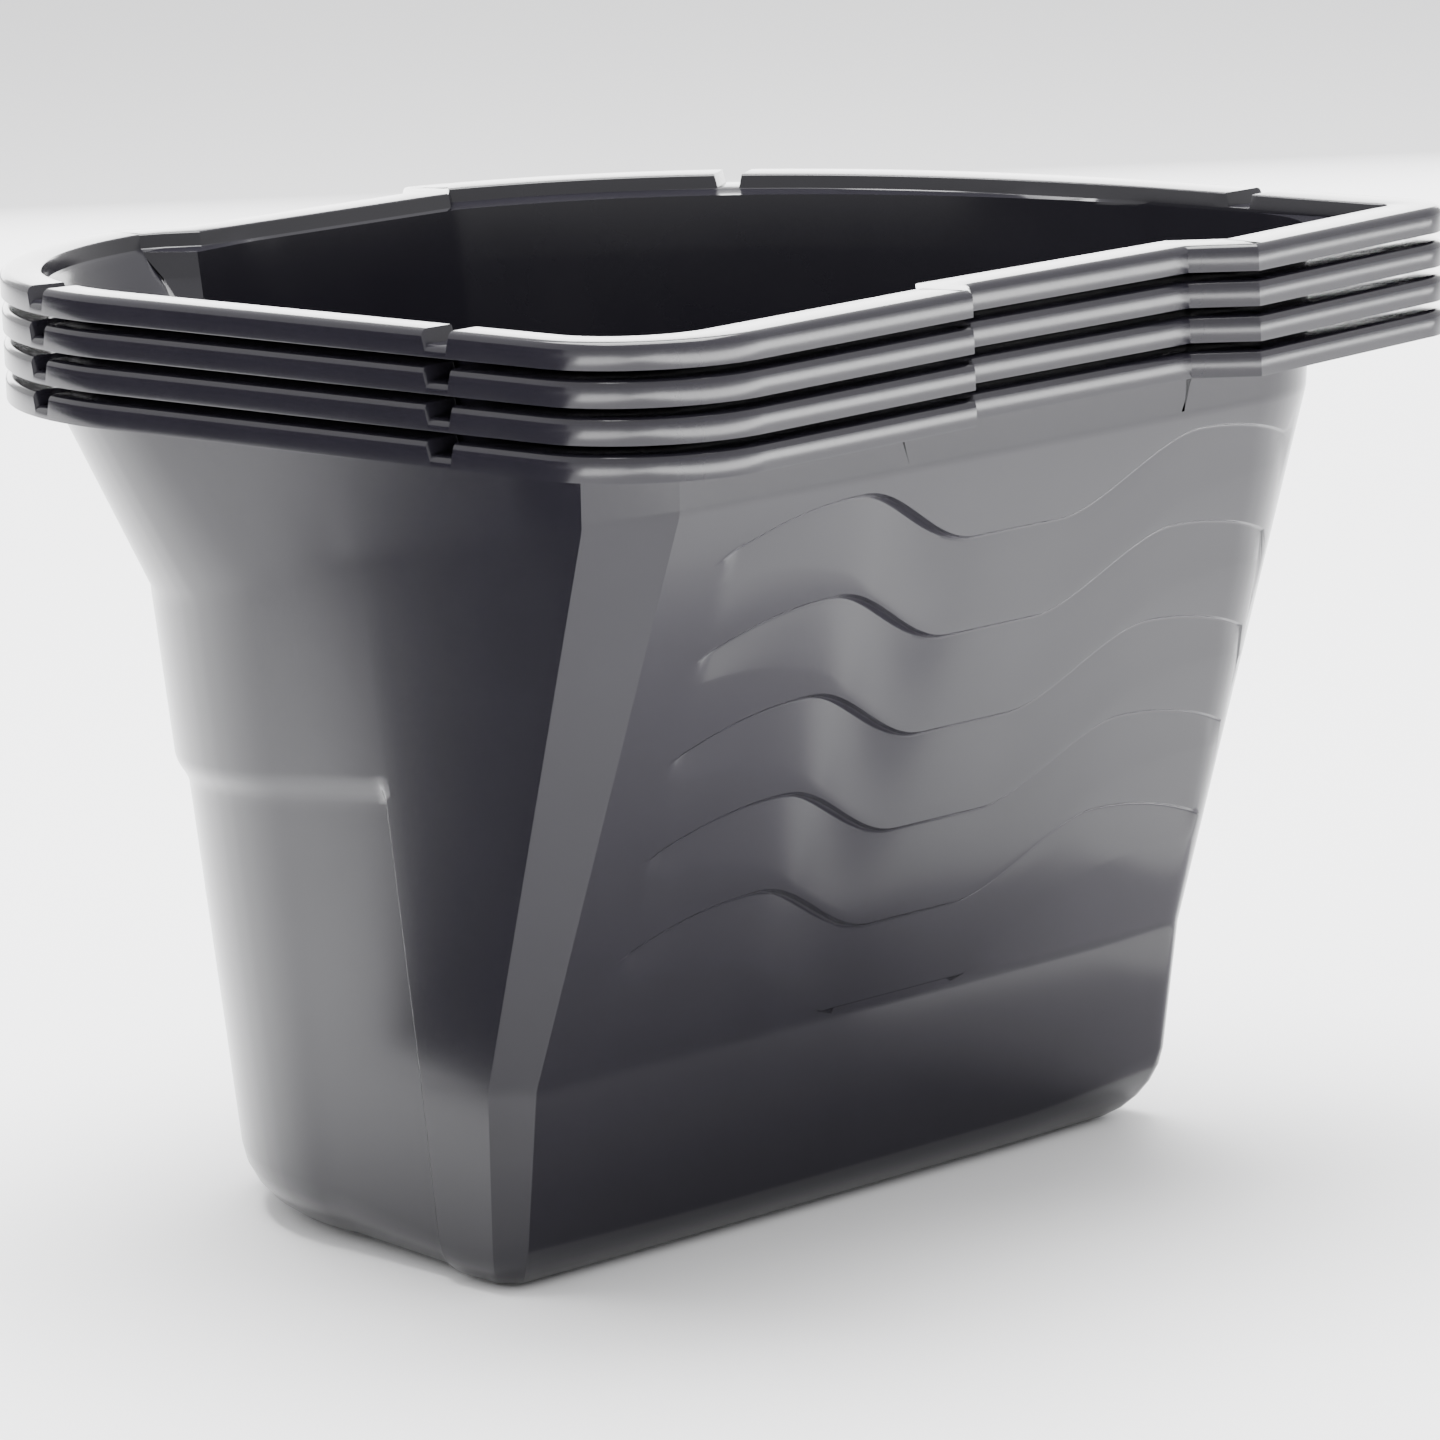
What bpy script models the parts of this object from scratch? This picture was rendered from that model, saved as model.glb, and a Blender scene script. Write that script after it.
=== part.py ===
"""Stack of four identical nested plastic tubs with skirted rims.

Metres, +Z up, origin at the base of the lowest tub, under the middle of the stack's bounding
box, which the rims set.  Each tub is one thin moulding: a sloping front wall with a plinth,
drafted end and back walls, a corner recess, a flared collar and a flat rim flange with a
turned-down skirt, jogs and thumb notches.
"""
import math

import bmesh
import bpy

MM = 0.001
TUB_COUNT = 4
STACK_PITCH = 10.0          # rim to rim distance in the nest
WALL = 0.4                  # moulded wall thickness
RIM_TOP = 249.7             # flange top of one tub above its own base
SKIRT_DEPTH = 7.5
FLANGE_ROUND = 2.2          # outer edge round of the flange
RIM_DROP = 4.4              # step from the flange down to the foot of its inner edge
FOOT_SET_IN = 0.6           # foot of the inner edge, inside the edge itself
LIP_SET_IN = 1.4            # ledge lip above the collar, inside the inner edge
LEDGE_Z = 244.5
KINK_Z = 60.0               # top of the plinth on the front wall
WALL_TOP_Z = 228.0          # front crease under the collar
NOTCH_DEPTH = 4.0
NOTCH_HALF = 4.0
NOTCH_EDGE = 2.4
RIGHT_NOTCH_Y = -85.0
LEFT_NOTCH_Y = -87.0
RIGHT_LINE_Y = (-140.0, -45.0)  # ends of the right rim line
FAR_RIGHT_LENGTH = 260.0    # length of the far right rim curve
FLANGE_WIDE = 16.0
FLANGE_MIDDLE = 14.8           # in the recessed middles of the front and back lines
FLANGE_NEAR_RIGHT = 15.5
FLANGE_LEFT = 11.0
RECESS_DEPTH = 3.0
RECESS_BAND = 8.5           # height of the sloped band at the head of the recess
RECESS_EDGE_Y = (-26.5, -31.5)
RECESS_HEAD_Z = (139.0, 129.0)  # lower edge of that band, at its front end and at the back
RECESS_RUN_Y = (-31.0, 79.0)
COLLAR_CORNER_Z = (228.0, 212.0, 197.0, 192.0, 187.0, 189.0, 189.2, 191.0, 191.2, 198.0)
COLLAR_LEFT_Z = (205.0, 226.0)  # crease on the left wall, from back to front
COLLAR_LEFT_Y = (55.0, -125.0)
CENTRE_SHIFT = (2.5, 0.89)  # brings the middle of the rim over the origin
FILLET_BLEND = 0.293        # quarter round sampled at 45 degrees

FRONT_JOG_IN = (-45.0, -36.0)
FRONT_JOG_OUT = (53.5, 66.5)
BACK_JOG_IN = (48.0, 36.0)
BACK_JOG_OUT = (-53.5, -67.0)

NR_ANGLES = (270, 288, 306, 324, 342, 360)
FL_RIM_ANGLES = (94, 110, 126, 132, 148)
FL_BODY_ANGLES = (108, 118, 126, 132, 148)
FL_NOTCH_ANGLE = 164.0
NL_STEPS = (0.0, 0.2, 0.4, 0.6, 0.8, 1.0)
FR_STEPS = (0.0, 0.14, 0.28, 0.42)
FR_STEPS_AFTER = (0.7, 0.84, 1.0)
FR_NOTCH = 0.56


class Outline:
    """Plan outline of one level, given by its four corners and two jog depths (mm)."""

    def __init__(self, front, left_a, near_right, far_right, back, far_left, left_b, jog):
        self.front = front              # end of the front line at the near left corner
        self.left_a = left_a            # end of the left line at the near left corner
        self.near_right = near_right    # (cx, cy, radius)
        self.far_right = far_right      # four Bezier points
        self.back = back                # y of the back line
        self.far_left = far_left        # (cx, cy, radius)
        self.left_b = left_b            # round near left corner (cx, cy, radius) or None
        self.jog = jog                  # inset of the middle of the front and back lines


FLOOR = Outline((-124.0, -49.0), (-127.0, -44.0), (112.0, -42.0, 7.0),
                ((119.0, -38.0), (110.0, 40.0), (84.0, 88.0), (42.0, 102.3)),
                102.3, (-34.5, 21.8, 79.0), None, 0.0)
BASE = Outline((-133.0, -61.0), (-137.8, -53.0), (129.3, -55.0, 6.0),
               ((135.3, -38.0), (124.7, 50.0), (95.0, 100.0), (43.0, 120.3)),
               120.3, (-34.5, 21.8, 98.5), None, 0.0)
KINK = Outline((-134.0, -70.0), (-142.6, -59.5), (130.7, -61.0, 9.0),
               ((139.7, -40.0), (129.5, 50.0), (98.4, 103.8), (43.6, 124.7)),
               124.7, (-35.1, 20.3, 104.4), None, 0.0)
CREASE = Outline((-135.0, -137.0), (-158.3, -123.8), (104.0, -89.0, 48.0),
                 ((152.0, -45.0), (143.0, 50.0), (108.0, 113.0), (45.0, 137.0)),
                 137.0, (-37.0, 16.0, 121.0), None, 0.0)
LEDGE = Outline((-135.6, -138.3), (-159.4, -124.8), (104.0, -89.0, 49.3),
                ((153.3, -45.0), (144.3, 50.6), (108.9, 113.9), (45.4, 138.3)),
                138.3, (-37.0, 16.0, 122.3), None, 0.0)
RIM = Outline((-134.0, -167.0), (-175.0, -126.0), (150.0, -140.0, 20.0),
              ((170.0, -45.0), (165.5, 60.0), (132.5, 138.5), (48.0, 166.5)),
              166.5, (-60.0, 52.0, 115.0), (-134.0, -126.0, 41.0), 12.0)
FRONT_JOG_Y = (-162.5, -153.5, -153.5, -168.5)


def lerp(a, b, t):
    return a + (b - a) * t


def arc(corner, angle):
    turn = math.radians(angle)
    return (corner[0] + corner[2] * math.cos(turn), corner[1] + corner[2] * math.sin(turn))


def bezier(points, t):
    weight = ((1 - t) ** 3, 3 * t * (1 - t) ** 2, 3 * t * t * (1 - t), t ** 3)
    return tuple(sum(w * p[axis] for w, p in zip(weight, points)) for axis in (0, 1))


def notch_span(centre, half, edge):
    return (centre - half - edge, centre - half, centre + half, centre + half + edge)


def front_points(line):
    """Front line from the near left corner to the near right one, with the jogs at the rim."""
    start = line.front
    end = arc(line.near_right, NR_ANGLES[0])
    xs = [FRONT_JOG_IN[0], FRONT_JOG_IN[1], 8.0, FRONT_JOG_OUT[0], FRONT_JOG_OUT[1]]
    if line.jog:
        ys = [FRONT_JOG_Y[0], FRONT_JOG_Y[1], FRONT_JOG_Y[1], FRONT_JOG_Y[2], FRONT_JOG_Y[3]]
    else:
        ys = [lerp(start[1], end[1], (x - start[0]) / (end[0] - start[0])) for x in xs]
    points = list(zip(xs, ys))
    first = tuple(lerp(a, b, 0.5) for a, b in zip(start, points[0]))
    last = tuple(lerp(a, b, 0.5) for a, b in zip(points[-1], end))
    return [first] + points + [last]


def right_points(line):
    """Right line with the columns of its thumb notch."""
    low = arc(line.near_right, 360)
    high = line.far_right[0]
    bottom, top = RIGHT_LINE_Y
    share = [(y - bottom) / (top - bottom)
             for y in notch_span(RIGHT_NOTCH_Y, NOTCH_HALF, NOTCH_EDGE)]
    return [(lerp(low[0], high[0], s), lerp(low[1], high[1], s)) for s in share]


def far_right_points(line):
    notch = notch_span(FR_NOTCH, NOTCH_HALF / FAR_RIGHT_LENGTH, NOTCH_EDGE / FAR_RIGHT_LENGTH)
    return [bezier(line.far_right, t) for t in FR_STEPS + notch + FR_STEPS_AFTER]


def back_points(line):
    inset = line.back - line.jog
    return [(BACK_JOG_IN[1], inset), (-8.0, inset), (BACK_JOG_OUT[0], inset)]


def far_left_points(line):
    reach = math.degrees(NOTCH_HALF / RIM.far_left[2])
    edge = math.degrees(NOTCH_EDGE / RIM.far_left[2])
    first = FL_RIM_ANGLES if line.jog else FL_BODY_ANGLES
    angles = first + notch_span(FL_NOTCH_ANGLE, reach, edge) + (180,)
    return [arc(line.far_left, angle) for angle in angles]


def left_points(line):
    """Left line running towards the front, with recess edge and notch columns."""
    high = arc(line.far_left, 180)
    low = line.left_a
    points = []
    for y in RECESS_EDGE_Y:
        points.append((lerp(high[0], low[0], (y - high[1]) / (low[1] - high[1])), y))
    last = points[-1]
    for y in reversed(notch_span(LEFT_NOTCH_Y, NOTCH_HALF, NOTCH_EDGE)):
        share = (y - last[1]) / (RIM.left_a[1] - last[1])
        points.append((lerp(last[0], low[0], share), lerp(last[1], low[1], share)))
    return points


def near_left_points(line):
    if line.left_b:
        return [arc(line.left_b, lerp(180, 270, step)) for step in NL_STEPS]
    a, b = line.left_a, line.front
    return [(lerp(a[0], b[0], step), lerp(a[1], b[1], step)) for step in NL_STEPS]


def ring(line):
    """Closed outline as columns that line up from level to level."""
    return (front_points(line)
            + [arc(line.near_right, angle) for angle in NR_ANGLES]
            + right_points(line) + far_right_points(line) + back_points(line)
            + far_left_points(line) + left_points(line) + near_left_points(line))


def counts():
    groups = (front_points, lambda line: NR_ANGLES, right_points, far_right_points,
              back_points, far_left_points, left_points, near_left_points)
    return [len(group(RIM)) for group in groups]


def start_of(group):
    return sum(counts()[:group])


def inset(points, distance):
    """Move every point of a closed counter-clockwise outline inwards by a mitred offset."""
    result = []
    total = len(points)
    for i, (x, y) in enumerate(points):
        ax, ay = points[i - 1]
        bx, by = points[(i + 1) % total]
        ux, uy = x - ax, y - ay
        vx, vy = bx - x, by - y
        ul, vl = math.hypot(ux, uy), math.hypot(vx, vy)
        nx, ny = -uy / ul - vy / vl, ux / ul + vx / vl
        scale = 2.0 / (nx * nx + ny * ny)
        step = distance[i] if isinstance(distance, list) else distance
        result.append((x + nx * scale * step, y + ny * scale * step))
    return result


def blend(a, b, shares):
    return [(lerp(p[0], q[0], s), lerp(p[1], q[1], s)) for p, q, s in zip(a, b, shares)]


def wall_at(levels, heights):
    """Wall outline at one height per column, between floor level, plinth top and crease."""
    base, kink, crease = levels
    low = blend(base, kink, [min(z / KINK_Z, 1.0) for z in heights])
    high_share = [(z - KINK_Z) / (WALL_TOP_Z - KINK_Z) for z in heights]
    high = blend(kink, crease, high_share)
    return [q if z > KINK_Z else p for p, q, z in zip(low, high, heights)]


def flange_width(total):
    """Flange width per column: narrow on the left, wide round the rest of the rim."""
    width = [FLANGE_WIDE] * total
    for i in range(start_of(0) + 2, start_of(0) + 5):
        width[i] = FLANGE_MIDDLE
    for i in range(start_of(1), start_of(2)):
        width[i] = FLANGE_NEAR_RIGHT
    for i in range(start_of(4), start_of(5)):
        width[i] = FLANGE_MIDDLE
    for k, i in enumerate(range(start_of(5), start_of(6))):
        width[i] = lerp(FLANGE_WIDE, FLANGE_LEFT, min(k / 4.0, 1.0))
    for i in range(start_of(6), start_of(7) + 1):
        width[i] = FLANGE_LEFT
    for k, i in enumerate(range(start_of(7), total)):
        width[i] = lerp(FLANGE_LEFT, FLANGE_WIDE, NL_STEPS[k])
    return width


def crease_heights(total):
    """Height of the crease under the collar; it dips round the far left corner."""
    heights = [WALL_TOP_Z] * total
    for i, z in zip(range(start_of(5), start_of(6)), COLLAR_CORNER_Z):
        heights[i] = z
    outline = ring(RIM)
    back, front = COLLAR_LEFT_Y
    for i in range(start_of(6), start_of(7)):
        share = (outline[i][1] - back) / (front - back)
        heights[i] = lerp(COLLAR_LEFT_Z[0], COLLAR_LEFT_Z[1], share)
    return heights


def collar_columns(total):
    return [start_of(5) < i < start_of(7) for i in range(total)]


def recess_insets(total):
    depth = [0.0] * total
    for i in range(start_of(5) + 3, start_of(6) + 1):
        depth[i] = RECESS_DEPTH
    return depth


def recess_heads(total):
    """Lower edge of the band at the head of the recess, falling towards the back."""
    front, back = RECESS_RUN_Y
    share = [min(max((y - front) / (back - front), 0.0), 1.0) for x, y in ring(BASE)]
    return [lerp(RECESS_HEAD_Z[0], RECESS_HEAD_Z[1], s) for s in share]


def notch_drops(total):
    drop = [0.0] * total
    starts = (start_of(2), start_of(3) + len(FR_STEPS), start_of(5) + len(FL_RIM_ANGLES),
              start_of(6) + len(RECESS_EDGE_Y))
    for first in starts:
        drop[first + 1] = NOTCH_DEPTH
        drop[first + 2] = NOTCH_DEPTH
    return drop


def skins():
    """Outer and inner skin as matching lists of rows, floor first, skirt lip last."""
    rim, ledge = ring(RIM), ring(LEDGE)
    levels = (ring(BASE), ring(KINK), ring(CREASE))
    total = len(rim)
    floor = ring(FLOOR)
    recess = recess_insets(total)
    pulled = tuple(inset(level, recess) for level in levels)
    floor = inset(floor, recess)
    radius = [math.dist(p, q) for p, q in zip(pulled[0], floor)]
    mid_z = [FILLET_BLEND * r for r in radius]
    head = recess_heads(total)
    crest = [z + RECESS_BAND for z in head]
    crease = crease_heights(total)
    width = flange_width(total)
    drop = notch_drops(total)
    edge = inset(rim, width)
    foot = inset(rim, [w + FOOT_SET_IN for w in width])
    under_edge = inset(rim, [w + LIP_SET_IN for w in width])
    lip = [p if c else q for p, q, c in zip(under_edge, ledge, collar_columns(total))]
    for i in list(range(1, start_of(1) - 1)) + list(range(start_of(4), start_of(5))):
        lip[i] = (foot[i][0], ledge[i][1])
    top = [RIM_TOP - d for d in drop]
    body = [
        (floor, [0.0] * total, 0.0, 1.0),
        (blend(wall_at(pulled, mid_z), floor, [FILLET_BLEND] * total), mid_z, 0.7, 0.7),
        (wall_at(pulled, radius), radius, 1.0, 0.0),
        (wall_at(pulled, [KINK_Z] * total), [KINK_Z] * total, 1.0, 0.0),
        (wall_at(pulled, head), head, 1.0, 0.0),
        (wall_at(levels, crest), crest, 1.0, 0.0),
        (wall_at(levels, crease), crease, 1.0, 0.0),
        (lip, [LEDGE_Z - WALL] * total, 1.0, 1.0),
        (foot, [RIM_TOP - RIM_DROP - WALL] * total, 1.0, 1.0),
        (edge, [z - WALL for z in top], 1.0, 1.0),
    ]
    outer = []
    inner = []
    for outline, heights, inward, upward in body:
        outer.append([(x, y, z) for (x, y), z in zip(outline, heights)])
        moved = inset(outline, WALL * inward)
        inner.append([(x, y, z + WALL * upward) for (x, y), z in zip(moved, heights)])
    skirt = (
        (FLANGE_ROUND, top, WALL),
        (0.0, [z - FLANGE_ROUND for z in top], WALL * 0.5),
        (0.0, [RIM_TOP - SKIRT_DEPTH] * total, 0.0),
    )
    for distance, heights, under in skirt:
        hidden = inset(rim, distance + WALL)
        shown = inset(rim, distance)
        outer.append([(x, y, z - under) for (x, y), z in zip(hidden, heights)])
        inner.append([(x, y, z) for (x, y), z in zip(shown, heights)])
    return outer, inner


def tub_mesh():
    """One closed body: outer skin, inner skin, the two floors and the lip of the skirt."""
    outer, inner = skins()
    rows = outer + inner[::-1]
    total = len(outer[0])
    bm = bmesh.new()
    dx, dy = CENTRE_SHIFT
    grid = [[bm.verts.new(((x + dx) * MM, (y + dy) * MM, z * MM)) for x, y, z in row]
            for row in rows]
    for level, (low, high) in enumerate(zip(grid, grid[1:])):
        for i in range(total):
            k = (i + 1) % total
            if level < len(outer):
                bm.faces.new((low[i], low[k], high[k]))
                bm.faces.new((low[i], high[k], high[i]))
            else:
                bm.faces.new((low[i], low[k], high[i]))
                bm.faces.new((low[k], high[k], high[i]))
    floors = [bm.faces.new(grid[0][::-1]), bm.faces.new(grid[-1])]
    bmesh.ops.triangulate(bm, faces=floors)
    mesh = bpy.data.meshes.new("tub_mesh")
    bm.to_mesh(mesh)
    bm.free()
    return mesh


def gloss_plastic():
    material = bpy.data.materials.new("gloss_plastic")
    material.use_nodes = True
    shader = material.node_tree.nodes["Principled BSDF"]
    shader.inputs["Base Color"].default_value = (0.012, 0.011, 0.014, 1.0)
    shader.inputs["Roughness"].default_value = 0.16
    shader.inputs["Metallic"].default_value = 0.0
    return material


def main():
    for item in list(bpy.data.objects):
        bpy.data.objects.remove(item, do_unlink=True)
    mesh = tub_mesh()
    mesh.materials.append(gloss_plastic())
    for index in range(TUB_COUNT):
        tub = bpy.data.objects.new(f"tub_{index + 1}", mesh)
        tub.location = (0.0, 0.0, index * STACK_PITCH * MM)
        bpy.context.scene.collection.objects.link(tub)


main()
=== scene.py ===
"""Nested stack of four glossy plastic tubs: fine surfaces, materials, studio and camera."""
import math

import bmesh
import bpy
from mathutils import Matrix, Vector


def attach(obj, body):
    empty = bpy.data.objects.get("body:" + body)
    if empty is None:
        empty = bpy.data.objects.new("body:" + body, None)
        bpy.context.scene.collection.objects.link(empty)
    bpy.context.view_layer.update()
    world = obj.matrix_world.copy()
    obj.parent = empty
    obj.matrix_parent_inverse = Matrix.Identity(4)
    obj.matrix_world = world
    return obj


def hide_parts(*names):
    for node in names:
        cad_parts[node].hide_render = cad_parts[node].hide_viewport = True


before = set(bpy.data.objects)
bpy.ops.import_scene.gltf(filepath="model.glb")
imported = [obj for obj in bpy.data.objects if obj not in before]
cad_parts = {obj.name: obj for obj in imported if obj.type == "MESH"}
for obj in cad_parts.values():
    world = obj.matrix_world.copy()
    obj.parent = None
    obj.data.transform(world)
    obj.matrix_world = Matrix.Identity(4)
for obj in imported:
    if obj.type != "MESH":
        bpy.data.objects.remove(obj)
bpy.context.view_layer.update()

MM = 0.001
TUB_COUNT = 4
STACK_PITCH = 10.0
WALL = 0.4
RIM_TOP = 249.7
SKIRT_DEPTH = 7.5
FLANGE_ROUND = 2.2
RIM_DROP = 4.4
LEDGE_Z = 244.5
KINK_Z = 60.0
WALL_TOP_Z = 228.0
NOTCH_DEPTH = 4.0
NOTCH_HALF = 4.0
NOTCH_EDGE = 1.2
RIGHT_NOTCH_Y = -85.0
FAR_RIGHT_NOTCH = 0.56          # share of the far right curve
FAR_LEFT_NOTCH = 164.0          # degrees on the far left arc
LEFT_NOTCH_Y = -87.0
FAR_RIGHT_LENGTH = 260.0        # length of the far right rim curve
RECESS_DEPTH = 3.0
RECESS_BAND = 8.5               # height of the sloped band at the head of the recess
RECESS_EDGE_Y = -31.0
RECESS_RUN = 110.0              # distance over which the head of the recess falls
RECESS_HEAD_Z = (139.0, 129.0)
FLANGE_WIDE = 16.0
FLANGE_MIDDLE = 14.8            # in the recessed middles of the front and back lines
FLANGE_NEAR_RIGHT = 15.5
FLANGE_LEFT = 11.0
FOOT_SET_IN = 0.6               # foot of the flange's inner edge, inside the edge itself
COLLAR_SET_IN = 1.4             # top of the collar, inside the same edge
EDGE_ROUND = 0.7                # round on the flange's inner edge
LIP_CHAMFER = 0.1               # at the bottom of the skirt
CORNER_CREASE = ((94.0, 228.0), (110.0, 212.0), (126.0, 197.0), (148.0, 187.0), (166.0, 191.0),
                 (180.0, 198.0))    # (degrees, height) round the far left corner
LEFT_CREASE_Z = (198.0, 226.0)      # crease on the left wall, from back to front

JOG_FRONT = ((-45.0, -162.5), (-36.0, -153.5), (53.5, -153.5), (66.5, -168.5))
JOG_BACK = ((48.0, 166.5), (36.0, 154.5), (-53.5, 154.5), (-67.0, 166.7))

CENTRE_SHIFT = (2.5, 0.89)      # brings the middle of the rim over the origin

WAVE_COUNT = 5
WAVE_TOP_Z = 223.6
WAVE_PITCH = 29.2
WAVE_MIDDLE_X = 8.0
WAVE_END = 120.0                # half length of a wave
WAVE_DEEP_X = -40.0             # the hollows are deepest here
WAVE_DEEP_REACH = 24.0
WAVE_ABOVE, WAVE_LIP, WAVE_FACE = range(3)

GROUND_TURNS = (15, 30, 45, 60, 75)         # degrees round the bottom fillet
EDGE_TURNS = (0, 30, 60, 90)
SKIRT_TURNS = (0, 18, 36, 54, 72, 90)
CREST_ROW = 20                  # wall rows above the head of the recess
BAND_ROWS = 6                   # wall rows across its sloped band
SHARP_ANGLE = 24.0
MITRE_LIMIT = 0.3               # keeps very sharp corners from shooting out

DARK_LEFT = ((-0.235, 0.0), (-1.9, 0.30), (-1.9, 1.9), (-0.62, 1.9), (-0.60, 0.53),
             (-0.385, 0.285), (-0.235, 0.125))
GREY_FRONT = ((-0.13, -0.07), (0.30, -0.07), (0.30, -0.115), (0.215, -0.125), (0.195, -0.142),
              (0.09, -0.148), (0.215, -0.262), (-0.13, -0.262))
CAMERA_PLACE = (-1.55847, -1.58943, 0.55431)
CAMERA_TURN = (45.302, 10.631, -2.277)      # yaw, downward pitch and roll in degrees
CAMERA_LENS = 192.67


class Outline:
    """Plan outline of one level, given by its corners."""

    def __init__(self, front, left_a, near_right, far_right, back, far_left, left_b=None):
        self.front = front
        self.left_a = left_a
        self.near_right = near_right
        self.far_right = far_right
        self.back = back
        self.far_left = far_left
        self.left_b = left_b


FLOOR = Outline((-124.0, -49.0), (-127.0, -44.0), (112.0, -42.0, 7.0),
                ((119.0, -38.0), (110.0, 40.0), (84.0, 88.0), (42.0, 102.3)),
                102.3, (-34.5, 21.8, 79.0))
BASE = Outline((-133.0, -61.0), (-137.8, -53.0), (129.3, -55.0, 6.0),
               ((135.3, -38.0), (124.7, 50.0), (95.0, 100.0), (43.0, 120.3)),
               120.3, (-34.5, 21.8, 98.5))
KINK = Outline((-134.0, -70.0), (-142.6, -59.5), (130.7, -61.0, 9.0),
               ((139.7, -40.0), (129.5, 50.0), (98.4, 103.8), (43.6, 124.7)),
               124.7, (-35.1, 20.3, 104.4))
CREASE = Outline((-135.0, -137.0), (-158.3, -123.8), (104.0, -89.0, 48.0),
                 ((152.0, -45.0), (143.0, 50.0), (108.0, 113.0), (45.0, 137.0)),
                 137.0, (-37.0, 16.0, 121.0))
LEDGE = Outline((-135.6, -138.3), (-159.4, -124.8), (104.0, -89.0, 49.3),
                ((153.3, -45.0), (144.3, 50.6), (108.9, 113.9), (45.4, 138.3)),
                138.3, (-37.0, 16.0, 122.3))
RIM = Outline((-134.0, -167.0), (-175.0, -126.0), (150.0, -140.0, 20.0),
              ((170.0, -45.0), (165.5, 60.0), (132.5, 138.5), (48.0, 166.5)),
              166.5, (-60.0, 52.0, 115.0), (-134.0, -126.0, 41.0))


def lerp(a, b, t):
    return a + (b - a) * t


def clamp(value, low=0.0, high=1.0):
    return max(low, min(high, value))


def smooth(t):
    t = clamp(t)
    return t * t * (3.0 - 2.0 * t)


def arc(corner, angle):
    turn = math.radians(angle)
    return (corner[0] + corner[2] * math.cos(turn), corner[1] + corner[2] * math.sin(turn))


def bezier(points, t):
    weight = ((1 - t) ** 3, 3 * t * (1 - t) ** 2, 3 * t * t * (1 - t), t ** 3)
    return tuple(sum(w * p[axis] for w, p in zip(weight, points)) for axis in (0, 1))


def spread(low, high, steps, ends=True):
    """Evenly spaced values, with or without the two ends."""
    values = [lerp(low, high, k / steps) for k in range(steps + 1)]
    return values if ends else values[1:-1]


def along(points, x):
    """Second coordinate of a polyline where the first one is x."""
    for (ax, ay), (bx, by) in zip(points, points[1:]):
        if ax <= x <= bx or bx <= x <= ax:
            return lerp(ay, by, (x - ax) / (bx - ax))
    return points[-1][1]


def with_notch(values, centre, half, edge):
    """Station values with the nearby ones cleared and the notch's own added."""
    reach = half + 2.0 * edge
    kept = [v for v in values if abs(v - centre) > reach]
    rising = values[-1] > values[0]
    own = [centre - half - edge, centre - half - edge * 0.5, centre - half, centre - half * 0.4,
           centre + half * 0.4, centre + half, centre + half + edge * 0.5, centre + half + edge]
    return sorted(kept + own, reverse=not rising)


BACK_STRAIGHT_END = -40.0
FL_RIM_START = 94.0             # first angle of the far left arc at the rim
FL_BODY_START = 108.0           # and on the walls
FL_SHARED = 132.0               # from here on rim and walls use the same angles
RIGHT_LOW_Y, RIGHT_HIGH_Y = -140.0, -45.0
LEFT_TOP_Y = 52.0               # back end of the left rim line
LEFT_FREE_Y = -20.0             # behind this, stations stretch to the level's own arc
LEFT_HOLD_Y = -35.0             # in front of this, they stretch to its near corner
NR_ANGLES = spread(270.0, 360.0, 14)
FL_REACH = math.degrees(NOTCH_HALF / RIM.far_left[2])
FL_EDGE = math.degrees(NOTCH_EDGE / RIM.far_left[2])
FR_REACH = NOTCH_HALF / FAR_RIGHT_LENGTH
FR_EDGE = NOTCH_EDGE / FAR_RIGHT_LENGTH
FR_T = with_notch(spread(0.0, 1.0, 34), FAR_RIGHT_NOTCH, FR_REACH, FR_EDGE)
FL_ANGLES = with_notch(spread(FL_RIM_START, 180.0, 34), FAR_LEFT_NOTCH, FL_REACH, FL_EDGE)
RIGHT_Y = with_notch(spread(RIGHT_LOW_Y, RIGHT_HIGH_Y, 16, False), RIGHT_NOTCH_Y, NOTCH_HALF,
                     NOTCH_EDGE)
LEFT_Y = with_notch([40.0, 25.0, 10.0, -5.0, -18.0, -24.0, -27.0, -28.2, -29.6, -31.0, -33.0,
                     -40.0, -55.0, -70.0, -100.0, -113.0], LEFT_NOTCH_Y, NOTCH_HALF, NOTCH_EDGE)
NL_STEPS = spread(0.0, 1.0, 12)
FRONT_LEFT_X = spread(-134.0, -45.0, 34, False)
FRONT_MID_X = ([-45.0, -42.0, -39.0, -36.0] + spread(-36.0, 53.5, 36, False)
               + [53.5, 58.0, 62.0, 66.5])
FRONT_RIGHT_S = spread(0.0, 1.0, 20, False)
BACK_X = [44.0, 40.0, 36.0] + spread(36.0, -53.5, 12, False) + [-53.5, -58.0]


def front_points(line):
    start, end = line.front, arc(line.near_right, 270)
    path = [start] + list(JOG_FRONT) + [end] if line is RIM else [start, end]
    jog_left, jog_right = JOG_FRONT[0][0], JOG_FRONT[-1][0]
    rim_left = RIM.front[0]
    xs = [lerp(start[0], jog_left, (x - rim_left) / (jog_left - rim_left))
          for x in FRONT_LEFT_X] + FRONT_MID_X
    xs += [lerp(jog_right, end[0], s) for s in FRONT_RIGHT_S]
    return [(x, along(path, x)) for x in xs]


def right_points(line):
    low, high = arc(line.near_right, 360), line.far_right[0]
    shares = [(y - RIGHT_LOW_Y) / (RIGHT_HIGH_Y - RIGHT_LOW_Y) for y in RIGHT_Y]
    return [(lerp(low[0], high[0], s), lerp(low[1], high[1], s)) for s in shares]


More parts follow.
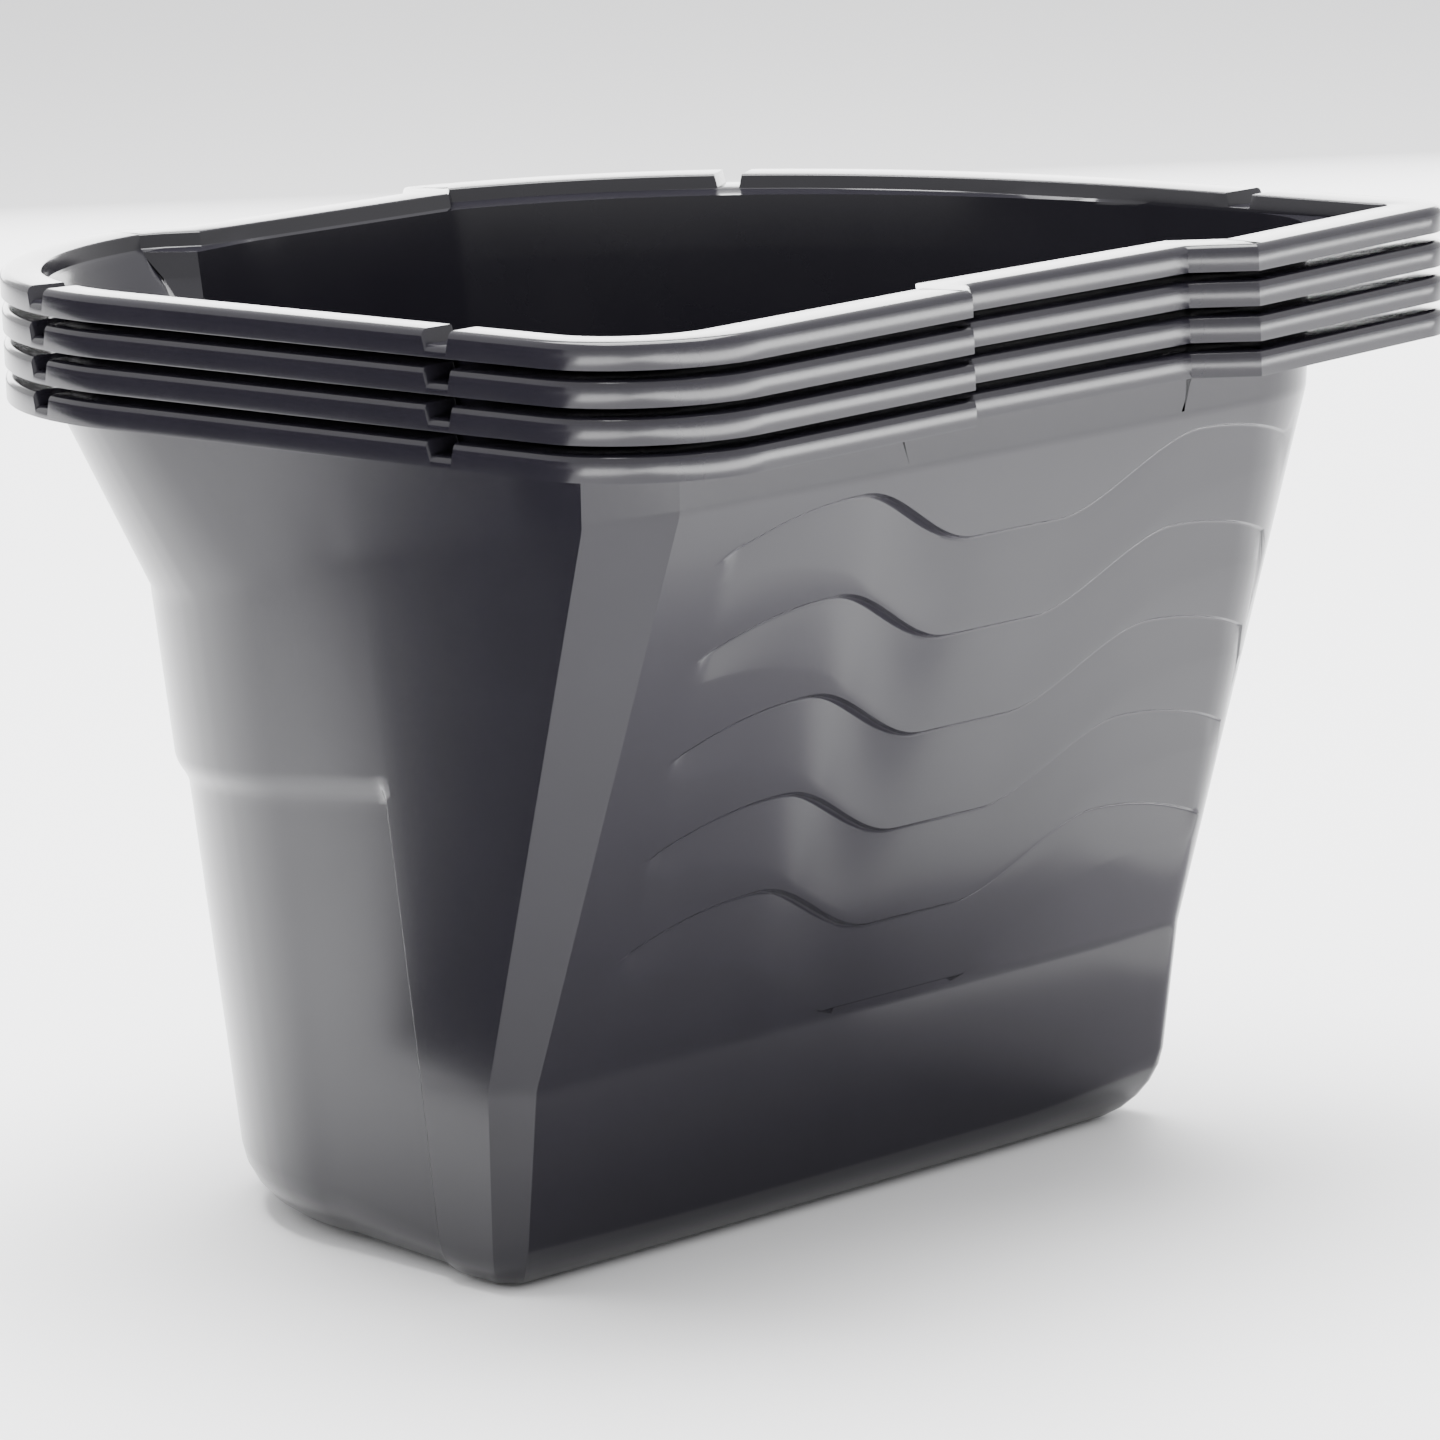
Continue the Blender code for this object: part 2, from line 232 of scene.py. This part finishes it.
def back_y(line, x):
    """Back line of a wall: straight, then slanting to the start of the far left corner."""
    if x > BACK_STRAIGHT_END:
        return line.back
    return along([(BACK_STRAIGHT_END, line.back), arc(line.far_left, FL_BODY_START)], x)


def back_points(line):
    if line is RIM:
        return [(x, along(JOG_BACK, x)) for x in BACK_X]
    end = arc(line.far_left, FL_BODY_START)
    first = line.far_right[3]
    jog_right, jog_left = JOG_BACK[0][0], JOG_BACK[-1][0]
    xs = [lerp(first[0], end[0], (jog_right - x) / (jog_right - jog_left)) for x in BACK_X]
    return [(x, back_y(line, x)) for x in xs]


def far_left_points(line):
    first = FL_RIM_START if line is RIM else FL_BODY_START
    shares = [(a - FL_RIM_START) / (FL_SHARED - FL_RIM_START) for a in FL_ANGLES]
    return [arc(line.far_left, a if a > FL_SHARED else lerp(first, FL_SHARED, share))
            for a, share in zip(FL_ANGLES, shares)]


def left_points(line):
    """Left line: the stations near the recess edge keep their y, the others stretch."""
    high, low = arc(line.far_left, 180), line.left_a
    points = []
    for y in LEFT_Y:
        if y > LEFT_FREE_Y:
            moved = lerp(high[1], LEFT_FREE_Y, (LEFT_TOP_Y - y) / (LEFT_TOP_Y - LEFT_FREE_Y))
        elif y > LEFT_HOLD_Y:
            moved = y
        else:
            share = (y - LEFT_HOLD_Y) / (RIM.left_a[1] - LEFT_HOLD_Y)
            moved = lerp(LEFT_HOLD_Y, low[1], share)
        across = (moved - high[1]) / (low[1] - high[1])
        points.append((lerp(high[0], low[0], across), moved))
    return points


def near_left_points(line):
    if line.left_b:
        return [arc(line.left_b, lerp(180, 270, step)) for step in NL_STEPS]
    a, b = line.left_a, line.front
    return [(lerp(a[0], b[0], step), lerp(a[1], b[1], step)) for step in NL_STEPS]


def near_right_points(line):
    return [arc(line.near_right, angle) for angle in NR_ANGLES]


def far_right_points(line):
    return [bezier(line.far_right, t) for t in FR_T]


GROUPS = (front_points, near_right_points, right_points, far_right_points, back_points,
          far_left_points, left_points, near_left_points)
FRONT, NEAR_RIGHT, RIGHT, FAR_RIGHT, BACK, FAR_LEFT, LEFT, NEAR_LEFT = range(len(GROUPS))
SIZES = [len(group(RIM)) for group in GROUPS]
STARTS = [sum(SIZES[:k]) for k in range(len(SIZES) + 1)]
TOTAL = STARTS[-1]


def span(group):
    return range(STARTS[group], STARTS[group + 1])


def ring(line):
    return [point for group in GROUPS for point in group(line)]


def inset(points, distance):
    """Move every point of a closed outline inwards by a mitred offset."""
    result = []
    total = len(points)
    for i, (x, y) in enumerate(points):
        ax, ay = points[i - 1]
        bx, by = points[(i + 1) % total]
        ux, uy = x - ax, y - ay
        vx, vy = bx - x, by - y
        ul, vl = math.hypot(ux, uy), math.hypot(vx, vy)
        nx, ny = -uy / ul - vy / vl, ux / ul + vx / vl
        scale = 2.0 / max(nx * nx + ny * ny, MITRE_LIMIT)
        step = distance[i] if isinstance(distance, list) else distance
        result.append((x + nx * scale * step, y + ny * scale * step))
    return result


def blend(a, b, shares):
    return [(lerp(p[0], q[0], s), lerp(p[1], q[1], s)) for p, q, s in zip(a, b, shares)]


def wall_at(levels, heights):
    """Wall outline at one height per column, below or above the top of the plinth."""
    base, kink, crease = levels
    low = blend(base, kink, [z / KINK_Z for z in heights])
    high = blend(kink, crease, [(z - KINK_Z) / (WALL_TOP_Z - KINK_Z) for z in heights])
    return [q if z > KINK_Z else p for p, q, z in zip(low, high, heights)]


def flange_widths():
    """Flange width per column, narrow on the left; it narrows over 54 degrees of the corner."""
    width = [FLANGE_WIDE] * TOTAL
    rim = ring(RIM)
    for i in span(FRONT):
        if JOG_FRONT[0][0] < rim[i][0] < JOG_FRONT[3][0]:
            width[i] = FLANGE_MIDDLE
    for i in span(NEAR_RIGHT):
        width[i] = FLANGE_NEAR_RIGHT
    for i in span(BACK):
        width[i] = FLANGE_MIDDLE
    for i, a in zip(span(FAR_LEFT), FL_ANGLES):
        width[i] = lerp(FLANGE_WIDE, FLANGE_LEFT, clamp((a - FL_RIM_START) / 54.0))
    for i in span(LEFT):
        width[i] = FLANGE_LEFT
    for i, step in zip(span(NEAR_LEFT), NL_STEPS):
        width[i] = lerp(FLANGE_LEFT, FLANGE_WIDE, step)
    return width


def crease_heights():
    """Height of the crease under the collar, per column."""
    heights = [WALL_TOP_Z] * TOTAL
    for i, a in zip(span(FAR_LEFT), FL_ANGLES):
        heights[i] = along(CORNER_CREASE, a)
    rim = ring(RIM)
    back, front = LEFT_CREASE_Z
    for i in span(LEFT):
        share = (LEFT_TOP_Y - rim[i][1]) / (LEFT_TOP_Y - RIM.left_a[1])
        heights[i] = lerp(back, front, share)
    for i, step in zip(span(NEAR_LEFT), NL_STEPS):
        heights[i] = lerp(front, WALL_TOP_Z, step)
    return heights


def recess_insets():
    """Depth of the corner recess, eased in over 8 degrees and over 4 mm at its two edges."""
    depth = [0.0] * TOTAL
    for i, a in zip(span(FAR_LEFT), FL_ANGLES):
        depth[i] = RECESS_DEPTH * smooth((a - 120.0) / 8.0)
    for i, y in zip(span(LEFT), LEFT_Y):
        depth[i] = RECESS_DEPTH * smooth((y - RECESS_EDGE_Y) / 4.0)
    return depth


def recess_heads():
    """Lower edge of the band at the head of the recess, falling towards the back."""
    front, back = RECESS_HEAD_Z
    return [lerp(front, back, clamp((y - RECESS_EDGE_Y) / RECESS_RUN)) for x, y in ring(BASE)]


def notch_drops():
    drop = [0.0] * TOTAL
    stations = ((RIGHT, RIGHT_Y, RIGHT_NOTCH_Y, NOTCH_HALF, NOTCH_EDGE),
                (FAR_RIGHT, FR_T, FAR_RIGHT_NOTCH, FR_REACH, FR_EDGE),
                (FAR_LEFT, FL_ANGLES, FAR_LEFT_NOTCH, FL_REACH, FL_EDGE),
                (LEFT, LEFT_Y, LEFT_NOTCH_Y, NOTCH_HALF, NOTCH_EDGE))
    for group, values, centre, half, edge in stations:
        for i, value in zip(span(group), values):
            drop[i] = NOTCH_DEPTH * smooth((half + edge - abs(value - centre)) / edge)
    return drop


def wave_line(x):
    """Height of a wave's upper edge, from its crests: a trough, then drooping ends."""
    t = abs(x - WAVE_MIDDLE_X)
    if t < 70.0:
        return -19.6 * (1.0 - smooth((t - 18.0) / 52.0))
    return -0.0042 * (min(t, 126.0) - 70.0) ** 2


def wave_deepness(x):
    """1 where the hollows are deepest, falling to 0 away from there."""
    return math.exp(-((x - WAVE_DEEP_X) / WAVE_DEEP_REACH) ** 2)


def wave_depth(x):
    ends = smooth((WAVE_END - abs(x - WAVE_MIDDLE_X)) / 4.0)
    return (0.9 + 1.5 * wave_deepness(x)) * ends


def wave_thickness(x):
    return min(27.0, 8.0 + 0.29 * max(0.0, WAVE_END - abs(x - WAVE_MIDDLE_X)))


def wave_rows():
    """Wall rows of all waves: (crest height, offset, what it is measured from, depth share)."""
    rows = []
    for wave in range(WAVE_COUNT):
        top = WAVE_TOP_Z - wave * WAVE_PITCH
        rows += [(top, 1.0, WAVE_ABOVE, 0.0), (top, 0.15, WAVE_ABOVE, 0.0),
                 (top, -0.35, WAVE_LIP, 0.4), (top, -0.8, WAVE_LIP, 0.85),
                 (top, -1.3, WAVE_LIP, 1.0), (top, -2.0, WAVE_LIP, 0.97),
                 (top, 0.35, WAVE_FACE, 0.72), (top, 0.7, WAVE_FACE, 0.34),
                 (top, 0.95, WAVE_FACE, 0.07), (top, 1.03, WAVE_FACE, 0.0)]
    return rows


def wave_z(row, x):
    top, offset, kind, share = row
    edge = top + wave_line(x)
    if kind == WAVE_ABOVE:
        return edge + offset
    if kind == WAVE_LIP:
        return edge + offset * (0.6 + 0.8 * wave_deepness(x))
    return edge - offset * wave_thickness(x)


def plain_z(k, count, crease, crest, head):
    """Height of wall row k of count, on a column without waves."""
    if k < CREST_ROW:
        return lerp(crease - 3.0, crest + 0.8, k / (CREST_ROW - 1))
    if k < CREST_ROW + BAND_ROWS:
        return lerp(crest, head, (k - CREST_ROW) / (BAND_ROWS - 1))
    share = (k - CREST_ROW - BAND_ROWS + 1) / (count - CREST_ROW - BAND_ROWS)
    return lerp(head, KINK_Z + 4.0, share)


def wall_rows(levels, pulled, head, crest, crease):
    """Rows of the tall wall from the crease down to the plinth, as (outline, heights)."""
    pattern = wave_rows()
    waved = set(span(FRONT)) | set(span(NEAR_RIGHT)[:4]) | {TOTAL - 1}
    nominal = ring(CREASE)
    kinks = ring(KINK)
    result = []
    for k, row in enumerate(pattern):
        heights = []
        depth = []
        for i in range(TOTAL):
            if i in waved:
                up = (row[0] - KINK_Z) / (WALL_TOP_Z - KINK_Z)
                x = lerp(kinks[i][0], nominal[i][0], up)
                fade = smooth((abs(x - WAVE_MIDDLE_X) - WAVE_END - 1.0) / 5.0)
                heights.append(wave_z(row, x))
                depth.append(wave_depth(x) * row[3] * (1.0 - fade))
            else:
                heights.append(plain_z(k, len(pattern), crease[i], crest[i], head[i]))
                depth.append(0.0)
        full = wall_at(levels, heights)
        low = wall_at(pulled, heights)
        share = [smooth((crest[i] - heights[i]) / max(crest[i] - head[i], 0.1))
                 for i in range(TOTAL)]
        result.append((inset(blend(full, low, share), depth), heights))
    return result


def lip_outline(rim, foot, width):
    """Top of the collar: under the flange at the left, following its foot along the jogs."""
    ledge = ring(LEDGE)
    collar = inset(rim, [w + COLLAR_SET_IN for w in width])
    lip = [collar[i] if i in span(FAR_LEFT) or i in span(LEFT) else ledge[i]
           for i in range(TOTAL)]
    for i in span(FRONT):
        share = smooth((rim[i][0] + 105.0) / 50.0) * smooth((115.0 - rim[i][0]) / 40.0)
        lip[i] = (lerp(ledge[i][0], foot[i][0], share), ledge[i][1])
    for i in span(BACK):
        share = smooth((44.0 - rim[i][0]) / 12.0) * smooth((rim[i][0] + 60.0) / 12.0)
        x = lerp(ledge[i][0], foot[i][0], share)
        lip[i] = (x, back_y(LEDGE, x))
    return lip


def body_rows(rim, top):
    """Rows from the floor up to the flange: (outline, heights, inward and upward wall share)."""
    levels = (ring(BASE), ring(KINK), ring(CREASE))
    recess = recess_insets()
    pulled = tuple(inset(level, recess) for level in levels)
    floor = inset(ring(FLOOR), recess)
    radius = [math.dist(p, q) for p, q in zip(pulled[0], floor)]
    head = recess_heads()
    crest = [z + RECESS_BAND for z in head]
    crease = crease_heights()
    width = flange_widths()
    edge = inset(rim, width)
    foot = inset(rim, [w + FOOT_SET_IN for w in width])
    lip = lip_outline(rim, foot, width)
    rows = [(floor, [0.0] * TOTAL, 0.0, 1.0)]
    for turn in GROUND_TURNS:
        sine, cosine = math.sin(math.radians(turn)), math.cos(math.radians(turn))
        heights = [(1.0 - cosine) * r for r in radius]
        wall = wall_at(pulled, heights)
        rows.append((blend(wall, floor, [1.0 - sine] * TOTAL), heights, sine, cosine))
    rows.append((wall_at(pulled, radius), radius, 1.0, 0.0))
    for z in (KINK_Z - 20.0, KINK_Z - 2.0, KINK_Z, KINK_Z + 2.0):
        rows.append((wall_at(pulled, [z] * TOTAL), [z] * TOTAL, 1.0, 0.0))
    for outline, heights in reversed(wall_rows(levels, pulled, head, crest, crease)):
        rows.append((outline, heights, 1.0, 0.0))
    below = [z - 1.2 for z in crease]
    rows.append((wall_at(levels, below), below, 1.0, 0.0))
    crease_ring = wall_at(levels, crease)
    rows.append((blend(crease_ring, lip, [0.02] * TOTAL),
                 [lerp(z, LEDGE_Z, 0.02) for z in crease], 1.0, 0.0))
    for share in (0.1, 0.55, 0.94):
        rows.append((blend(crease_ring, lip, [share] * TOTAL),
                     [lerp(z, LEDGE_Z - WALL, share) for z in crease], 1.0, share))
    ledge_z = LEDGE_Z - WALL
    foot_z = RIM_TOP - RIM_DROP - WALL
    rows += [(lip, [ledge_z] * TOTAL, 1.0, 1.0),
             (blend(lip, foot, [0.06] * TOTAL), [ledge_z + 0.05] * TOTAL, 1.0, 1.0),
             (blend(lip, foot, [0.94] * TOTAL), [foot_z - 0.05] * TOTAL, 1.0, 1.0),
             (blend(foot, edge, [0.04] * TOTAL), [foot_z + 0.2] * TOTAL, 1.0, 1.0)]
    for turn in EDGE_TURNS:
        rise = math.sin(math.radians(turn))
        reach = 1.0 - math.cos(math.radians(turn))
        moved = inset(rim, [w - EDGE_ROUND * reach for w in width])
        heights = [z - WALL - EDGE_ROUND + EDGE_ROUND * rise for z in top]
        rows.append((moved, heights, 1.0, 1.0))
    return rows


def skins():
    """Outer and inner skin as matching lists of rows, floor first, skirt lip last."""
    rim = ring(RIM)
    top = [RIM_TOP - d for d in notch_drops()]
    outer, inner = [], []
    for outline, heights, inward, upward in body_rows(rim, top):
        outer.append([(x, y, z) for (x, y), z in zip(outline, heights)])
        moved = inset(outline, WALL * inward)
        inner.append([(x, y, z + WALL * upward) for (x, y), z in zip(moved, heights)])
    for turn in SKIRT_TURNS:
        sine, cosine = math.sin(math.radians(turn)), math.cos(math.radians(turn))
        distance = FLANGE_ROUND * (1.0 - sine)
        fall = FLANGE_ROUND * (1.0 - cosine)
        hidden, shown = inset(rim, distance + WALL), inset(rim, distance)
        outer.append([(x, y, z - fall - WALL * cosine) for (x, y), z in zip(hidden, top)])
        inner.append([(x, y, z - fall) for (x, y), z in zip(shown, top)])
    bottom = RIM_TOP - SKIRT_DEPTH
    for z, chamfer in ((bottom + 0.3, 0.0), (bottom, LIP_CHAMFER)):
        outer.append([(x, y, z) for x, y in inset(rim, WALL)])
        inner.append([(x, y, z) for x, y in inset(rim, chamfer)])
    return outer, inner


def tub_mesh():
    """One closed body: outer skin, inner skin, the two floors and the lip of the skirt."""
    outer, inner = skins()
    rows = outer + inner[::-1]
    bm = bmesh.new()
    dx, dy = CENTRE_SHIFT
    grid = [[bm.verts.new(((x + dx) * MM, (y + dy) * MM, z * MM)) for x, y, z in row]
            for row in rows]
    for low, high in zip(grid, grid[1:]):
        for i in range(TOTAL):
            k = (i + 1) % TOTAL
            bm.faces.new((low[i], low[k], high[k], high[i]))
    bm.faces.new(grid[0][::-1])
    bm.faces.new(grid[-1])
    for face in bm.faces:
        face.smooth = True
    mesh = bpy.data.meshes.new("tub_skin")
    bm.to_mesh(mesh)
    bm.free()
    mesh.set_sharp_from_angle(angle=math.radians(SHARP_ANGLE))
    return mesh


def node(tree, kind, **values):
    made = tree.nodes.new(kind)
    for key, value in values.items():
        setattr(made, key, value)
    return made


def gloss_plastic():
    """Glossy moulded plastic: tinted black, faint mottling, fine scuffs and moulding ripple."""
    material = bpy.data.materials.new("gloss_plastic_fine")
    material.use_nodes = True
    tree = material.node_tree
    shader = tree.nodes["Principled BSDF"]
    shader.inputs["IOR"].default_value = 1.5
    shader.inputs["Specular IOR Level"].default_value = 0.4
    link = tree.links.new
    where = node(tree, "ShaderNodeTexCoord").outputs["Object"]
    mottle = node(tree, "ShaderNodeTexNoise")
    mottle.inputs["Scale"].default_value = 38.0
    mottle.inputs["Detail"].default_value = 6.0
    link(where, mottle.inputs["Vector"])
    tone = node(tree, "ShaderNodeValToRGB")
    tone.color_ramp.elements[0].color = (0.008, 0.0074, 0.0105, 1.0)
    tone.color_ramp.elements[1].color = (0.012, 0.0112, 0.0152, 1.0)
    link(mottle.outputs["Fac"], tone.inputs["Fac"])
    link(tone.outputs["Color"], shader.inputs["Base Color"])
    scuff = node(tree, "ShaderNodeTexNoise")
    scuff.inputs["Scale"].default_value = 900.0
    scuff.inputs["Detail"].default_value = 4.0
    link(where, scuff.inputs["Vector"])
    rough = node(tree, "ShaderNodeMapRange")
    rough.inputs["To Min"].default_value = 0.13
    rough.inputs["To Max"].default_value = 0.21
    link(scuff.outputs["Fac"], rough.inputs["Value"])
    link(rough.outputs["Result"], shader.inputs["Roughness"])
    ripple = node(tree, "ShaderNodeTexNoise")
    ripple.inputs["Scale"].default_value = 24.0
    ripple.inputs["Detail"].default_value = 2.0
    link(where, ripple.inputs["Vector"])
    grain = node(tree, "ShaderNodeBump")
    grain.inputs["Strength"].default_value = 0.05
    grain.inputs["Distance"].default_value = 0.00005
    link(scuff.outputs["Fac"], grain.inputs["Height"])
    swell = node(tree, "ShaderNodeBump")
    swell.inputs["Strength"].default_value = 0.06
    swell.inputs["Distance"].default_value = 0.0006
    link(ripple.outputs["Fac"], swell.inputs["Height"])
    link(grain.outputs["Normal"], swell.inputs["Normal"])
    link(swell.outputs["Normal"], shader.inputs["Normal"])
    return material


def make_tubs():
    mesh = tub_mesh()
    mesh.materials.append(gloss_plastic())
    for index in range(TUB_COUNT):
        name = f"tub_{index + 1}"
        tub = bpy.data.objects.new(f"{name}_skin", mesh)
        tub.location = (0.0, 0.0, index * STACK_PITCH * MM)
        bpy.context.scene.collection.objects.link(tub)
        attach(tub, name)
        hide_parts(name)


def stage_card(name, corners, material):
    """One flat face that belongs to the studio."""
    mesh = bpy.data.meshes.new(name)
    mesh.from_pydata(corners, [], [tuple(range(len(corners)))])
    mesh.materials.append(material)
    card = bpy.data.objects.new(name, mesh)
    bpy.context.scene.collection.objects.link(card)
    return card


def plane(name, size, location, normal, material):
    half_x, half_y = size[0] / 2, size[1] / 2
    corners = [(-half_x, -half_y, 0), (half_x, -half_y, 0), (half_x, half_y, 0),
               (-half_x, half_y, 0)]
    card = stage_card(name, corners, material)
    turn = Vector(normal).to_track_quat("Z", "Y").to_matrix().to_4x4()
    card.matrix_world = Matrix.Translation(location) @ turn
    return card


def polygon(name, corners, height, material):
    """Card lying just above the floor."""
    card = stage_card(name, [(x, y, height) for x, y in corners], material)
    return card


def reflections_only(card):
    card.visible_camera = False
    card.visible_diffuse = False
    card.visible_shadow = False


def stage_material(name, color, roughness):
    material = bpy.data.materials.new(name)
    material.use_nodes = True
    tree = material.node_tree
    shader = tree.nodes["Principled BSDF"]
    noise = node(tree, "ShaderNodeTexNoise")
    noise.inputs["Scale"].default_value = 3.0
    tone = node(tree, "ShaderNodeValToRGB")
    tone.color_ramp.elements[0].color = color
    tone.color_ramp.elements[1].color = tuple(min(1.0, c * 1.02) for c in color)
    tree.links.new(noise.outputs["Fac"], tone.inputs["Fac"])
    tree.links.new(tone.outputs["Color"], shader.inputs["Base Color"])
    shader.inputs["Roughness"].default_value = roughness
    shader.inputs["Specular IOR Level"].default_value = 0.0
    return material


def area_light(name, size, location, target, power):
    """Rectangular light aimed at target, or straight up when target is None."""
    light = bpy.data.lights.new(name, "AREA")
    light.shape = "RECTANGLE"
    light.size, light.size_y = size
    light.energy = power
    lamp = bpy.data.objects.new(name, light)
    bpy.context.scene.collection.objects.link(lamp)
    lamp.location = location
    if target is None:
        lamp.rotation_euler = (math.pi, 0.0, 0.0)
    else:
        aim = Vector(target) - Vector(location)
        lamp.rotation_euler = aim.to_track_quat("-Z", "Y").to_euler()
    lamp.visible_camera = False
    return lamp


def studio():
    """Pale floor with soft lights, black cards to the left and a grey one in front."""
    pale = stage_material("floor_white", (0.93, 0.93, 0.94, 1.0), 0.9)
    black = stage_material("card_black", (0.004, 0.004, 0.005, 1.0), 0.9)
    grey = stage_material("card_grey", (0.46, 0.45, 0.48, 1.0), 0.9)
    plane("floor", (12.0, 12.0), (0.0, 0.0, -0.0005), (0, 0, 1), pale)
    cards = [polygon("dark_card_left", DARK_LEFT, 0.004, black),
             plane("dark_card_back", (2.4, 0.5), (-1.6, 1.5, 0.25), (0.7, -0.7, 0.0), black),
             polygon("grey_card_front", GREY_FRONT, 0.0015, grey)]
    for card in cards:
        reflections_only(card)
    world = bpy.data.worlds.new("studio")
    bpy.context.scene.world = world
    world.use_nodes = True
    sky = world.node_tree.nodes["Background"]
    sky.inputs["Color"].default_value = (1.0, 1.0, 1.0, 1.0)
    sky.inputs["Strength"].default_value = 1.5
    area_light("softbox_top", (1.8, 1.8), (0.2, 0.3, 2.2), (0.0, 0.0, 0.1), 200.0)
    area_light("strip_front", (3.6, 1.1), (0.3, -1.45, 0.01), None, 210.0)
    area_light("strip_left", (1.1, 1.0), (-1.55, -0.45, 0.01), None, 42.0)
    area_light("strip_back", (2.6, 0.9), (1.75, 1.75, 0.62), (0.0, 0.0, 0.3), 60.0)


def camera():
    lens = bpy.data.cameras.new("camera")
    lens.sensor_width = 36.0
    lens.lens = CAMERA_LENS
    lens.clip_end = 50.0
    eye = bpy.data.objects.new("camera", lens)
    bpy.context.scene.collection.objects.link(eye)
    yaw, pitch, roll = (math.radians(turn) for turn in CAMERA_TURN)
    forward = Vector((math.cos(yaw) * math.cos(pitch), math.sin(yaw) * math.cos(pitch),
                      -math.sin(pitch)))
    right = Vector((math.sin(yaw), -math.cos(yaw), 0.0))
    up = right.cross(forward)
    rolled_right = right * math.cos(roll) + up * math.sin(roll)
    rolled_up = up * math.cos(roll) - right * math.sin(roll)
    turn = Matrix((rolled_right, rolled_up, -forward)).transposed().to_4x4()
    eye.matrix_world = Matrix.Translation(CAMERA_PLACE) @ turn
    bpy.context.scene.camera = eye


make_tubs()
studio()
camera()
